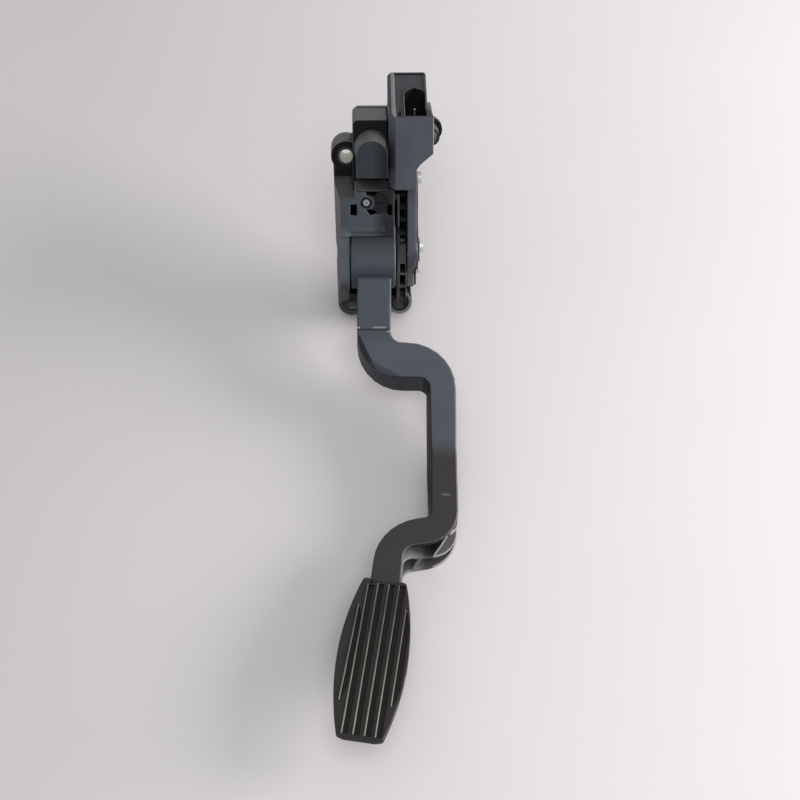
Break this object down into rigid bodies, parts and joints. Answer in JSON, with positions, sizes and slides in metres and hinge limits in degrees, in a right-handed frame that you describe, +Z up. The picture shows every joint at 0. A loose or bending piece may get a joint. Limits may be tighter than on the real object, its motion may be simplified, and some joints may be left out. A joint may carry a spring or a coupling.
{
  "type": "accelerator pedal",
  "caption": "Hanging accelerator pedal module: moulded housing with lugs, sensor and connector block, sprung S-bent ribbed arm and a barrel-shaped grooved foot pad.",
  "frame": {"origin": "on the wall face of the base plate, X = 0 about 4 mm left of the sensor body's middle and Z = 0 about 10 mm below the pivot", "axes": "+X to the driver's right, +Y out of the back into the wall it is bolted to, +Z up"},
  "size_m": [0.0613, 0.205, 0.2752],
  "materials": {
    "housing_plastic": "matt moulded",
    "sensor_plastic": "matt moulded",
    "arm_plastic": "fine grained",
    "pad_plastic": "worn",
    "plug_plastic": "matt",
    "bush_steel": "zinc plated",
    "screw_steel": "plated",
    "spring_steel": "oiled",
    "bearing_plastic": "natural",
    "terminal_metal": "tinned",
    "board": "satin",
    "magnet": "ground",
    "rubber": "matt"
  },
  "bodies": {
    "module": {"housing": "housing_plastic", "bush_upper_left": "bush_steel", "bush_upper_right": "bush_steel", "bush_lower_left": "bush_steel", "bush_lower_right": "bush_steel", "sensor_body": "sensor_plastic", "sensor_lid": "sensor_plastic", "terminals": "terminal_metal", "circuit_board": "board", "shaft_seal": "rubber", "sensor_screws": "screw_steel", "panel_screw": "screw_steel", "panel_plug": "plug_plastic", "bearing_left": "bearing_plastic", "bearing_right": "bearing_plastic", "outer_spring": "spring_steel", "inner_spring": "spring_steel", "spring_base": "bearing_plastic", "rest_bumper": "rubber", "travel_stop": "rubber"},
    "pedal": {"pedal_arm": "arm_plastic", "pad_cover": "pad_plastic", "pivot_pin": "screw_steel", "retaining_clip": "screw_steel", "spring_cup": "bearing_plastic", "rotor_carrier": "bearing_plastic", "rotor_magnet": "magnet"}
  },
  "joints": [
    {"name": "pedal_press", "type": "hinge", "parent": "module", "child": "pedal", "pos_m": [-0.012, -0.028, 0.0095], "axis": [1, 0, 0], "range_deg": [0, 15], "stiffness_Nm_per_rad": 17, "springref_deg": -14.32, "deforming": ["outer_spring", "inner_spring"]}
  ]
}
